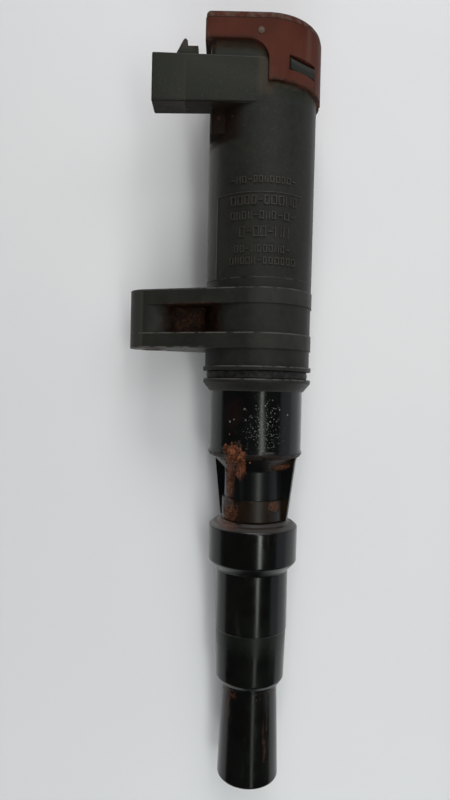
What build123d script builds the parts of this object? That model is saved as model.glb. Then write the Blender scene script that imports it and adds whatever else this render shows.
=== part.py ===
from build123d import *
import os
from math import acos, cos, pi, radians, sin, sqrt

# Pencil ignition coil, in millimetres.
# +Z runs up the coil's axis, from the spark plug to the cap.  The origin is on that axis,
# in the plane that the mounting lug's bush is bolted down on.  The lug and the connector
# point towards -X, and the connector hangs off the -Y side of the head.

# ---------------------------------------------------------------- driving dimensions
BARREL_R_LOW = 15.3          # moulding draft: the barrel widens towards the head
BARREL_R_HIGH = 15.55
BARREL_TOP_Z = 71.7
BORE_R = 13.3                # straight bore that holds the windings
HEAD_R = 15.1                # half width of the D-shaped head inside the cap
HEAD_LEFT = -15.1            # flat side of the D
HEAD_WALL = 1.8
HEAD_Z = 66.0                # underside of the head and of the connector
HEAD_TOP_Z = 88.3
RIB_Z = 59.4                 # square rib on the barrel, under the head
RIB_HALF = 11.0
HOUSING_BOTTOM_Z = -11.6

CAP_R = 16.6
CAP_LEFT = -16.6
CAP_WALL = 1.45
CAP_SKIRT_Z = 71.8
CAP_CREASE_Z = 88.0          # the top band is set in above this line
CAP_TOP_Z = 90.1
CAP_NOTCH_Z = 82.5           # lower edge of the cap over the connector
CAP_NOTCH_X = 0.6
CAP_FAR_NOTCH_X = -8.5

CLIP_ANGLE = 38.5            # clip windows, from -Y or +Y round towards +X
CLIP_Z = 77.0
CLIP_WIDTH = 9.8
CLIP_HEIGHT = 4.0

PLUG_NEAR_Y = -15.5          # connector shroud
PLUG_FAR_Y = -6.9
PLUG_MOUTH_X = -30.9
PLUG_END_X = 0.45
PLUG_TOP_Z = 79.0
PLUG_WALL = 1.2
PLUG_FLOOR_X = -18.5
BLADE_Z = (70.0, 75.2)       # heights of the two blades
BLADE_THICK = 0.64
BLADE_WIDTH = 2.3
BLADE_TIP_X = -28.6
LEAD_X = (-3.6, -1.4)        # wires from the primary winding up to the blades' tails
LEAD_Y = -11.0

LUG_X = -31.0                # mounting lug
LUG_R = 6.6
LUG_Z = 0.2                  # underside of the plastic, just above the bush's end
LUG_TOP_Z = 16.8
LUG_LOWER_PLATE = 4.35
LUG_UPPER_PLATE = 4.3
LUG_BAND_R = 15.65
LUG_WEB = 3.0
LUG_POCKET_R = 2.6           # round corners of the pockets on either side of the web
BUSH_R = 4.6
BUSH_BORE_R = 3.3
BUSH_TOP_Z = 17.0

SEAL_TOP_Z = -5.8            # groove of the well seal
SEAL_BOTTOM_Z = -8.1
SEAL_ROOT_R = 14.0
SEAL_R = 14.85
FLANGE_R = 15.9

NECK_R = 13.55               # lower tower, from the housing down to the nozzle
NECK_BORE_R = 11.9
NECK_Z = -28.9
CONE_TOP_Z = -30.6
CONE_BOTTOM_Z = -34.4
STEM_R = 8.7
HUB_R = 9.35
HUB_Z = -42.8
HUB_BOTTOM_Z = -49.0
NOZZLE_R = 6.6
NOZZLE_Z = -70.0
RESISTOR_BORE_R = 3.6
FIN_ANGLES = (-25.6, 64.4, 154.4, -115.6)  # from -Y towards +X
FIN_THICK = 1.2
FIN_TOP_R = 12.65
FIN_LOW_R = 10.5

BOOT_TOP_Z = -49.2           # boot, from its lip to the plug end
BOOT_COLLAR_R = 13.1
BOOT_COLLAR_Z = -61.2
BOOT_TUBE_R = 10.6
BOOT_STEP_Z = -81.1
BOOT_TAPER_R = 10.05
BOOT_TUBE_Z = -97.1
BOOT_NOSE_TOP_R = 8.15
BOOT_NOSE_R = 9.0
BOOT_BOTTOM_Z = -125.5
BOOT_SOCKET_R = 5.15         # grips a spark plug's insulator
BOOT_SOCKET_Z = -97.0
BOOT_SPRING_R = 4.85
BOOT_SPRING_Z = -70.4
NOZZLE_FIT = 0.06            # sliding fit of the boot on the nozzle
CONTACT_Z = -90.8            # top face of the cup that meets the spark plug

STACK_LOW_Z = -2.0           # windings
STACK_HIGH_Z = 57.0
CORE_R = 5.6
CORE_STRIPS = 12
SECTIONS = 10
MAGNET = 5.0

# Sealed-in pieces stand this far apart where they are pushed or glued together.
GAP = 0.05


# ---------------------------------------------------------------- helpers
def turned(points):
    """Revolve a closed outline of (radius, height) points, each with an optional corner radius."""
    outline = make_face(Polyline(*[(p[0], 0, p[1]) for p in points], close=True)).face()
    for p in points:
        if len(p) == 3:
            corner = outline.vertices().sort_by_distance((p[0], 0, p[1]))[0]
            outline = outline.fillet_2d(p[2], [corner])
    return revolve(outline, Axis.Z, 360)


def ring(r_in, r_out, z_low, z_high):
    """A plain tube between two heights, or a disc where r_in is 0."""
    return turned([(r_in, z_low), (r_out, z_low), (r_out, z_high), (r_in, z_high)])


def block(x_low, x_high, y_low, y_high, z_low, z_high):
    """A box given by its faces."""
    middle = ((x_low + x_high) / 2, (y_low + y_high) / 2, (z_low + z_high) / 2)
    return Pos(*middle) * Box(x_high - x_low, y_high - y_low, z_high - z_low)


def side_cut(points, y_low, y_high):
    """Extrude a closed outline of (x, z) points along Y."""
    outline = make_face(Polyline(*[(x, y_low, z) for x, z in points], close=True))
    return extrude(outline, amount=y_high - y_low, dir=(0, 1, 0))


def d_shape(half, left, corner, z_low, z_high):
    """A D: round towards +X, flat on -Y, +Y and -X, with rounded upright corners."""
    outline = Circle(half) + Pos(left / 2, 0) * Rectangle(-left, 2 * half)
    corners = outline.vertices().filter_by(lambda v: abs(v.X - left) < 0.01)
    outline = fillet(corners, corner)
    return extrude(Pos(0, 0, z_low) * outline, amount=z_high - z_low)


def about_axis(degrees_from_front, part):
    """Turn a part modelled along +X to an angle measured from -Y towards +X."""
    return Rot(0, 0, degrees_from_front - 90) * part


def coil_spring(coil_r, wire_r, z_low, z_high, turns):
    """A helical spring of round wire."""
    height = z_high - z_low - 2 * wire_r
    path = Pos(0, 0, z_low + wire_r) * Helix(height / turns, height, coil_r)
    section = Plane(path @ 0, z_dir=path % 0) * Circle(wire_r)
    return sweep(section, path)


# ---------------------------------------------------------------- housing
def lug_plate(z_low, z_high):
    """The outline round the barrel and the boss, joined by the two common tangents."""
    angle = acos((LUG_BAND_R - LUG_R) / -LUG_X)
    barrel_point = (-LUG_BAND_R * cos(angle), LUG_BAND_R * sin(angle))
    boss_point = (LUG_X - LUG_R * cos(angle), LUG_R * sin(angle))
    corners = [barrel_point, boss_point]
    corners += [(x, -y) for x, y in reversed(corners)]
    web = make_face(Polyline(*corners, close=True))
    outline = Circle(LUG_BAND_R) + Pos(LUG_X, 0) * Circle(LUG_R) + web
    return extrude(Pos(0, 0, z_low) * outline, amount=z_high - z_low)


def lug():
    part = lug_plate(LUG_Z, LUG_Z + LUG_LOWER_PLATE)
    part += lug_plate(LUG_TOP_Z - LUG_UPPER_PLATE, LUG_TOP_Z)
    part += Pos(LUG_X, 0, 0) * ring(0, LUG_R, LUG_Z, LUG_TOP_Z)
    part += block(LUG_X, 0, -LUG_WEB / 2, LUG_WEB / 2, LUG_Z, LUG_TOP_Z)
    part = fillet(pocket_corners(part, LUG_X + LUG_R), LUG_POCKET_R)
    return part - Pos(LUG_X, 0, 0) * ring(0, BUSH_R, LUG_Z - 1, LUG_TOP_Z + 1)


def pocket_corners(part, near_x):
    """The two upright corners between the lug's web and whatever it meets near this x."""
    return part.edges().filter_by(
        lambda e: abs(e.center().X - near_x) < 1.5 and abs(abs(e.center().Y) - LUG_WEB / 2) < 0.1
        and LUG_Z + LUG_LOWER_PLATE < e.center().Z < LUG_TOP_Z - LUG_UPPER_PLATE and e.length > 5)


def barrel():
    """The round part, from the chamfered lower flange to the head."""
    line_z = 19.3
    line = 0.12
    return turned([
        (0, HOUSING_BOTTOM_Z), (13.8, HOUSING_BOTTOM_Z), (FLANGE_R - 0.1, -9.1, 0.25),
        (FLANGE_R - 0.1, SEAL_BOTTOM_Z, 0.2),
        (SEAL_ROOT_R, SEAL_BOTTOM_Z), (SEAL_ROOT_R, SEAL_TOP_Z), (FLANGE_R, SEAL_TOP_Z, 0.2),
        (FLANGE_R, -4.55, 0.2), (BARREL_R_LOW, -4.55), (BARREL_R_LOW, LUG_Z),
        (BARREL_R_LOW + 0.12, line_z - line),
        (BARREL_R_LOW, line_z), (BARREL_R_LOW + 0.16, line_z + line),
        (BARREL_R_HIGH, BARREL_TOP_Z), (0, BARREL_TOP_Z),
    ])


def shroud():
    """The connector's block, with its cavity, its lock ramp and a shallow parting groove."""
    part = side_cut(
        [(PLUG_MOUTH_X, HEAD_Z - 0.1), (PLUG_END_X, HEAD_Z + 0.3), (PLUG_END_X, 78.4),
         (PLUG_MOUTH_X, PLUG_TOP_Z)], PLUG_NEAR_Y, PLUG_FAR_Y)
    long_edges = part.edges().filter_by(lambda e: e.length > 20)
    part = fillet(long_edges.filter_by(lambda e: e.center().Y > PLUG_FAR_Y - 0.1), 1.4)
    long_edges = part.edges().filter_by(lambda e: e.length > 20)
    part = fillet(long_edges.filter_by(lambda e: e.center().Y < PLUG_NEAR_Y + 0.1), 0.45)
    part = fillet(part.faces().sort_by(Axis.X)[0].outer_wire().edges(), 0.4)
    ramp = side_cut(
        [(-24.3, 78.4), (-24.3, 79.0), (-22.5, 82.5), (-22.1, 82.8), (-21.7, 82.7), (-21.4, 82.3),
         (-21.4, 80.9), (-18.5, 80.9), (-18.5, 78.2)], PLUG_NEAR_Y + 0.4, -10.0)
    part += ramp
    groove = block(-21.95, -21.65, PLUG_NEAR_Y - 1, PLUG_FAR_Y + 1, HEAD_Z - 2, PLUG_TOP_Z + 5)
    inside = block(-23, -20, PLUG_NEAR_Y + 0.1, PLUG_FAR_Y - 0.1, HEAD_Z + 0.1, PLUG_TOP_Z + 5)
    return part - (groove - inside)


def shroud_cavity():
    part = block(PLUG_MOUTH_X - 1, PLUG_FLOOR_X, PLUG_NEAR_Y + PLUG_WALL, PLUG_FAR_Y - PLUG_WALL,
                 HEAD_Z + 1.4, PLUG_TOP_Z - 1.4)
    return fillet(part.edges().filter_by(Axis.X), 0.6)


def clip(side):
    """A wedge on the head that the cap's window snaps over; side is -1 for -Y and 1 for +Y."""
    half = (CLIP_HEIGHT - 0.5) / 2
    outline = make_face(Polyline((14.0, 0, CLIP_Z - half), (16.2, 0, CLIP_Z - half),
                                 (16.2, 0, CLIP_Z + 0.8), (15.4, 0, CLIP_Z + half), (14.0, 0, CLIP_Z + half),
                                 close=True))
    part = extrude(outline, amount=(CLIP_WIDTH - 0.8) / 2, both=True)
    return Rot(0, 0, side * (90 - CLIP_ANGLE)) * part


def housing(blades):
    part = barrel() + lug()
    part = fillet(pocket_corners(part, -BARREL_R_LOW), LUG_POCKET_R) + shroud()
    part += d_shape(HEAD_R, HEAD_LEFT, 1.6, HEAD_Z, HEAD_TOP_Z)
    rib = block(HEAD_LEFT, 0, -RIB_HALF, RIB_HALF, RIB_Z, HEAD_Z + 1)
    part += fillet(rib.edges().filter_by(Axis.Z).group_by(Axis.X)[0], 1.0)
    part += clip(-1) + clip(1)
    part -= ring(0, BORE_R, HOUSING_BOTTOM_Z - 1, HEAD_Z + 2)
    inset = HEAD_WALL
    part -= d_shape(HEAD_R - inset, HEAD_LEFT + inset, 1.0, HEAD_Z + 1, HEAD_TOP_Z + 1)
    part -= shroud_cavity()
    for blade in blades:
        part -= blade
    return part


# ---------------------------------------------------------------- cap, bush, seal
def cap():
    inner_r = CAP_R - CAP_WALL
    inner_left = CAP_LEFT + CAP_WALL
    top = d_shape(CAP_R - 0.2, CAP_LEFT + 0.2, 1.1, CAP_CREASE_Z, CAP_TOP_Z)
    top = fillet(top.faces().sort_by(Axis.Z)[-1].outer_wire().edges(), 1.3)
    part = d_shape(CAP_R, CAP_LEFT, 1.3, CAP_SKIRT_Z, CAP_CREASE_Z) + top
    part -= d_shape(inner_r, inner_left, 0.9, CAP_SKIRT_Z - 1, CAP_TOP_Z - 1.7)
    part -= notch(CAP_NOTCH_X, -CAP_R - 1, 0)
    part -= notch(CAP_FAR_NOTCH_X, 0, CAP_R + 1)
    window = block(13, 18, -CLIP_WIDTH / 2, CLIP_WIDTH / 2,
                   CLIP_Z - CLIP_HEIGHT / 2, CLIP_Z + CLIP_HEIGHT / 2)
    part -= about_axis(CLIP_ANGLE, window)
    part -= about_axis(180 - CLIP_ANGLE, window)
    slot = block(13, 18, -0.9, 0.9, CAP_SKIRT_Z - 1, 80.0)
    return part - slot


def notch(x_end, y_low, y_high):
    """Cut-out of the cap's skirt over the connector, with one large round corner."""
    corner = 5.6
    part = block(CAP_LEFT - 2, x_end, y_low, y_high, CAP_SKIRT_Z - 2, CAP_NOTCH_Z)
    edge = part.edges().filter_by(Axis.Y).sort_by_distance((x_end, 0, CAP_NOTCH_Z))[0]
    return fillet(edge, corner)


def mounting_bush():
    part = ring(BUSH_BORE_R, BUSH_R - GAP / 2, 0, BUSH_TOP_Z)
    ends = part.edges().filter_by(GeomType.CIRCLE)
    return Pos(LUG_X, 0, 0) * chamfer(ends, 0.25)


def well_seal():
    """A rubber ring, pressed flat by long use."""
    low = SEAL_BOTTOM_Z + GAP
    high = SEAL_TOP_Z - GAP
    return turned([(SEAL_ROOT_R + GAP, low), (SEAL_R - 0.2, low, 0.3), (SEAL_R, (low + high) / 2, 1.0),
                   (SEAL_R - 0.2, high, 0.3), (SEAL_ROOT_R + GAP, high)])


# ---------------------------------------------------------------- lower tower and boot
def fin():
    """One upright blade under the cone, leaning in towards the hub."""
    outline = make_face(Polyline(
        (7.5, 0, CONE_TOP_Z + 0.2), (13.0, 0, CONE_TOP_Z + 0.2), (FIN_TOP_R, 0, -32.0),
        (FIN_LOW_R, 0, HUB_BOTTOM_Z), (7.5, 0, HUB_BOTTOM_Z), close=True))
    return extrude(outline, amount=FIN_THICK / 2, both=True)


def lower_tower():
    spigot_r = BORE_R - GAP
    part = turned([
        (0, NOZZLE_Z), (NOZZLE_R, NOZZLE_Z, 0.6), (NOZZLE_R, HUB_BOTTOM_Z), (HUB_R, HUB_BOTTOM_Z, 0.3),
        (HUB_R, HUB_Z, 0.2), (STEM_R, HUB_Z), (STEM_R, CONE_BOTTOM_Z, 1.2), (12.3, CONE_TOP_Z, 0.3),
        (13.3, CONE_TOP_Z + 0.2, 0.3), (13.85, -29.4, 0.25), (13.75, NECK_Z, 0.2),
        (NECK_R, -28.3), (NECK_R, HOUSING_BOTTOM_Z), (spigot_r, HOUSING_BOTTOM_Z),
        (spigot_r, STACK_LOW_Z - 1.5), (0, STACK_LOW_Z - 1.5)])
    for angle in FIN_ANGLES:
        part += about_axis(angle, fin())
    part -= turned([(0, -27.5), (8.0, -27.5), (NECK_BORE_R, -25.5), (NECK_BORE_R, 0), (0, 0)])
    part -= ring(0, RESISTOR_BORE_R, NOZZLE_Z + 4.0, -20.0)
    return part - ring(0, 2.5, NOZZLE_Z - 1, -20.0)


def boot():
    fit_r = NOZZLE_R + NOZZLE_FIT
    return turned([
        (fit_r, BOOT_TOP_Z - 0.6, 0.4), (8.0, BOOT_TOP_Z, 0.3), (9.9, BOOT_TOP_Z, 0.4), (10.6, -49.95, 0.3),
        (11.9, -50.1, 0.3), (BOOT_COLLAR_R, -51.1, 0.8), (BOOT_COLLAR_R - 0.1, BOOT_COLLAR_Z, 1.0),
        (BOOT_TUBE_R, -63.8, 0.5), (BOOT_TUBE_R, BOOT_STEP_Z, 0.12), (BOOT_TUBE_R - 0.18, BOOT_STEP_Z - 0.25),
        (BOOT_TAPER_R, BOOT_TUBE_Z + 1.5, 1.0), (9.3, BOOT_TUBE_Z + 0.2, 0.5),
        (BOOT_NOSE_TOP_R + 0.25, BOOT_TUBE_Z, 0.2), (BOOT_NOSE_TOP_R + 0.25, BOOT_TUBE_Z - 0.8, 0.2),
        (BOOT_NOSE_TOP_R, BOOT_TUBE_Z - 1.1), (BOOT_NOSE_R, BOOT_BOTTOM_Z, 0.7),
        (BOOT_SOCKET_R + 0.9, BOOT_BOTTOM_Z, 0.2), (BOOT_SOCKET_R, BOOT_BOTTOM_Z + 1.2, 0.3),
        (BOOT_SOCKET_R, BOOT_SOCKET_Z - 0.3), (BOOT_SPRING_R, BOOT_SOCKET_Z),
        (BOOT_SPRING_R, BOOT_SPRING_Z - 0.2), (fit_r, BOOT_SPRING_Z)])


# ---------------------------------------------------------------- terminals and leads
def blade(z, tail_x):
    """A flat terminal: a chamfered blade in the connector, and a tail inside the head."""
    y = (PLUG_NEAR_Y + PLUG_FAR_Y) / 2
    part = block(BLADE_TIP_X, tail_x, y - BLADE_WIDTH / 2, y + BLADE_WIDTH / 2,
                 z - BLADE_THICK / 2, z + BLADE_THICK / 2)
    tip = part.faces().sort_by(Axis.X)[0].edges()
    return chamfer(tip, 0.2)


def terminal_carrier(blades):
    part = block(-13.1, -6.0, -12.9, -8.6, 67.6, 77.8)
    part = fillet(part.edges().filter_by(Axis.Z), 0.6)
    for item in blades:
        part -= item
    return part


def lead(x, z_top):
    """An enamelled wire from the primary winding up to a terminal's tail."""
    return Pos(x, LEAD_Y, 0) * ring(0, 0.4, STACK_HIGH_Z, z_top)


# ---------------------------------------------------------------- windings and core
def primary_bobbin():
    top = STACK_HIGH_Z + 1.2
    part = turned([(9.9, STACK_LOW_Z - 1.2), (12.0, STACK_LOW_Z - 1.2), (12.0, STACK_LOW_Z),
                   (10.6, STACK_LOW_Z), (10.6, STACK_HIGH_Z), (12.0, STACK_HIGH_Z), (12.0, top), (9.9, top)])
    for x in LEAD_X:
        part -= Pos(x, LEAD_Y, 0) * ring(0, 0.5, STACK_HIGH_Z - 0.5, top + 1)
    return part


def primary_winding():
    return ring(10.6 + GAP, 11.75, STACK_LOW_Z + GAP, STACK_HIGH_Z)


def section_edges():
    """Heights of the secondary bobbin's flanges."""
    pitch = (STACK_HIGH_Z - STACK_LOW_Z) / SECTIONS
    return [STACK_LOW_Z + pitch * i for i in range(SECTIONS + 1)]


def secondary_bobbin():
    part = ring(6.5, 7.25, -9.0, STACK_HIGH_Z + 3)
    part += ring(0, 7.25, -10.2, -9.0)
    part += ring(4.2, 7.25, -21.0, -10.2)
    for z in section_edges():
        part += ring(7.0, 9.55, z - 0.35, z + 0.35)
    return part


def secondary_winding():
    edges = section_edges()
    rings = []
    for low, high in zip(edges, edges[1:]):
        rings.append(ring(7.25 + GAP, 9.2, low + 0.35 + GAP, high - 0.35 - GAP))
    return Compound(rings)


def core_laminations():
    """Flat steel strips of stepped width that fill a circle."""
    pitch = 2 * CORE_R / CORE_STRIPS
    strips = []
    for i in range(CORE_STRIPS):
        low = -CORE_R + pitch * i + 0.02
        high = low + pitch - 0.04
        half = sqrt(CORE_R ** 2 - max(abs(low), abs(high)) ** 2)
        half = max(half, 1.2)
        strips.append(block(-half, half, low, high, 0, STACK_HIGH_Z - 1))
    return Compound(strips)


def core_sleeve():
    return ring(CORE_R + 0.25, 6.4, -MAGNET - 0.4, STACK_HIGH_Z + 2.5)


def shield(r_in, r_out, slit_angle):
    """Rolled steel sheet, open along a slit."""
    part = ring(r_in, r_out, STACK_LOW_Z - 1.4, STACK_HIGH_Z + 1.5)
    slit = block(10, 15, -0.6, 0.6, STACK_LOW_Z - 3, STACK_HIGH_Z + 3)
    return part - about_axis(slit_angle, slit)


def potting_resin(pieces):
    """Epoxy in the head, between the two bobbins and in the neck."""
    part = ring(9.62, 9.85, STACK_LOW_Z - 1.6, STACK_HIGH_Z + 4)
    part += ring(7.3, NECK_BORE_R - GAP, -14.5, STACK_LOW_Z - 1.3)
    part += ring(0, BORE_R - GAP, STACK_HIGH_Z + 3.6, HEAD_Z + 1.5)
    inset = HEAD_WALL + GAP
    part += d_shape(HEAD_R - inset, HEAD_LEFT + inset, 1.0, HEAD_Z + 1.0 + GAP, 82.0)
    for piece in pieces:
        part -= piece
    return part


# ---------------------------------------------------------------- high-voltage outlet
def hv_cup():
    """Pressed cup on the lower end of the secondary bobbin."""
    return turned([(0, -22.0), (8.0, -22.0, 0.4), (8.0, -15.0), (7.25 + GAP, -15.0),
                   (7.25 + GAP, -21.0 - GAP), (0, -21.0 - GAP)])


def link_spring():
    return coil_spring(2.6, 0.3, -38.0 + GAP, -22.0 - GAP, 7)


def suppressor_caps():
    upper = ring(0, 3.4, -40.0, -38.0)
    lower = ring(0, 3.4, -62.0, -60.0)
    return Compound([upper, lower])


def suppressor_body():
    return ring(0, 2.9, -60.0 + GAP, -40.0 - GAP)


def hv_pin():
    """Headed pin that carries the contact spring below the nozzle."""
    return turned([(0, -74.5), (2.2, -74.5, 0.8), (2.35, -72.0), (2.35, -66.0 + GAP),
                   (3.4, -66.0 + GAP), (3.4, -62.0 - GAP), (0, -62.0 - GAP)])


def contact_spring():
    return coil_spring(2.95, 0.35, CONTACT_Z + GAP, NOZZLE_Z - 0.3, 10)


def contact_cup():
    """Cup that rests on the spark plug's terminal nut, with a peg that centres the spring."""
    rim_z = CONTACT_Z - 5.6
    inside_z = CONTACT_Z - 0.8
    part = turned([(0, CONTACT_Z), (4.2, CONTACT_Z, 0.5), (4.2, rim_z), (3.5, rim_z, 0.2), (3.5, inside_z),
                   (0, inside_z)])
    return part + turned([(0, CONTACT_Z - 0.1), (2.1, CONTACT_Z - 0.1), (2.0, CONTACT_Z + 2.0, 0.4),
                          (0, CONTACT_Z + 2.0)])


# ---------------------------------------------------------------- write the parts
def main():
    supply = blade(BLADE_Z[1], LEAD_X[1] + 0.9)
    switched = blade(BLADE_Z[0], LEAD_X[0] + 0.9)
    blades = [supply, switched]
    carrier = terminal_carrier(blades)
    lead_supply = lead(LEAD_X[1], BLADE_Z[1] - BLADE_THICK / 2)
    lead_switched = lead(LEAD_X[0], BLADE_Z[0] - BLADE_THICK / 2)
    parts = {
        "housing": housing(blades),
        "cap": cap(),
        "mounting_bush": mounting_bush(),
        "well_seal": well_seal(),
        "lower_tower": lower_tower(),
        "terminal_supply": supply,
        "terminal_switched": switched,
        "terminal_carrier": carrier,
        "primary_lead_supply": lead_supply,
        "primary_lead_switched": lead_switched,
        "primary_bobbin": primary_bobbin(),
        "primary_winding": primary_winding(),
        "secondary_bobbin": secondary_bobbin(),
        "secondary_winding": secondary_winding(),
        "core_laminations": core_laminations(),
        "core_sleeve": core_sleeve(),
        "core_magnet_upper": ring(0, CORE_R, STACK_HIGH_Z - 1, STACK_HIGH_Z - 1 + MAGNET - GAP),
        "core_magnet_lower": ring(0, CORE_R, -MAGNET, 0),
        "core_end_pad": ring(0, CORE_R + 0.2, STACK_HIGH_Z - 1 + MAGNET, STACK_HIGH_Z + 5),
        "inner_shield": shield(12.2, 12.5, 150),
        "outer_shield": shield(12.6, 12.9, 210),
        "potting_resin": None,
        "hv_cup": hv_cup(),
        "link_spring": link_spring(),
        "suppressor_caps": suppressor_caps(),
        "suppressor_body": suppressor_body(),
        "hv_pin": hv_pin(),
        "boot": boot(),
        "contact_spring": contact_spring(),
        "contact_cup": contact_cup(),
    }
    buried = ["terminal_carrier", "terminal_supply", "terminal_switched", "primary_lead_supply",
              "primary_lead_switched", "core_end_pad", "core_magnet_upper"]
    parts["potting_resin"] = potting_resin([parts[name] for name in buried])
    os.makedirs("parts", exist_ok=True)
    for name, part in parts.items():
        part.label = name
        export_step(part, f"parts/{name}.step")


main()
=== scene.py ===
"""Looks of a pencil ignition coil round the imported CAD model: materials, wear, grime and light.

Distances are in millimetres, apart from those multiplied by MM, which are in Blender's metres.
X runs from the lug's side (negative) to the other, Y away from the camera, and Z up the coil.
Colours are linear RGB.
"""

import math
import random

import bmesh
import bpy
from mathutils import Matrix, Vector


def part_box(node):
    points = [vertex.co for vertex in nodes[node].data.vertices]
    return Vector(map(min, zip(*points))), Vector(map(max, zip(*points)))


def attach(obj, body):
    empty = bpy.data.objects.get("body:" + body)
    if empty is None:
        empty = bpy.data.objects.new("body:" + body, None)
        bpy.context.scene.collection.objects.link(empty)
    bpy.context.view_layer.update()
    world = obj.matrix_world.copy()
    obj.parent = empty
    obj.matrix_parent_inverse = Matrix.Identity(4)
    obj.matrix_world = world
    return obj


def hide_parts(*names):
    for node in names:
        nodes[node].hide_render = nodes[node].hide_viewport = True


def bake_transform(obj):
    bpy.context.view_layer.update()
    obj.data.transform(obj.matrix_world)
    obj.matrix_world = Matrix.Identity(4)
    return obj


MM = 0.001

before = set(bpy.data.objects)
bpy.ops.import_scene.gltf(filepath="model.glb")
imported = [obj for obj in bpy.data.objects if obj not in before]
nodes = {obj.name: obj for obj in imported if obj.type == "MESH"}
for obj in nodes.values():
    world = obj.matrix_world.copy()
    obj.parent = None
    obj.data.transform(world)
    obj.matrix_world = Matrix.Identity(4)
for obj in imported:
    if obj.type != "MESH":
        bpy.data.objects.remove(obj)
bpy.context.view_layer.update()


# ------------------------------------------------------------------ mesh tools
def mesh_object(name, bm, material, smooth=True):
    """Turns bm into a shown object and frees it."""
    mesh = bpy.data.meshes.new(name)
    bm.to_mesh(mesh)
    bm.free()
    for polygon in mesh.polygons:
        polygon.use_smooth = smooth
    mesh.materials.append(material)
    obj = bpy.data.objects.new(name, mesh)
    bpy.context.collection.objects.link(obj)
    return obj


def new_piece(name, bm, material, body, smooth=True):
    """Turns bm into a piece that rides on a body, with the given material."""
    piece = mesh_object(name, bm, material, smooth)
    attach(piece, body)


def skin(bm, rings):
    """Joins neighbouring rings, which have equally many points, with four-sided faces."""
    count = len(rings[0])
    for a, b in zip(rings, rings[1:]):
        for j in range(count):
            k = (j + 1) % count
            bm.faces.new((a[j], b[j], b[k], a[k]))


def close_ends(bm, rings):
    bm.faces.new(rings[0])
    bm.faces.new(reversed(rings[-1]))


def on_barrel(angle, z, radius):
    """A point round the axis, in metres; the angle is from -Y towards +X."""
    return Vector((math.sin(angle) * radius, -math.cos(angle) * radius, z)) * MM


# ------------------------------------------------------------------ material tools
# sockets of a Mix node: A, B and the result, for numbers and for colours
MIX_NUMBER = (2, 3, 0)
MIX_COLOUR = (6, 7, 2)


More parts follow.
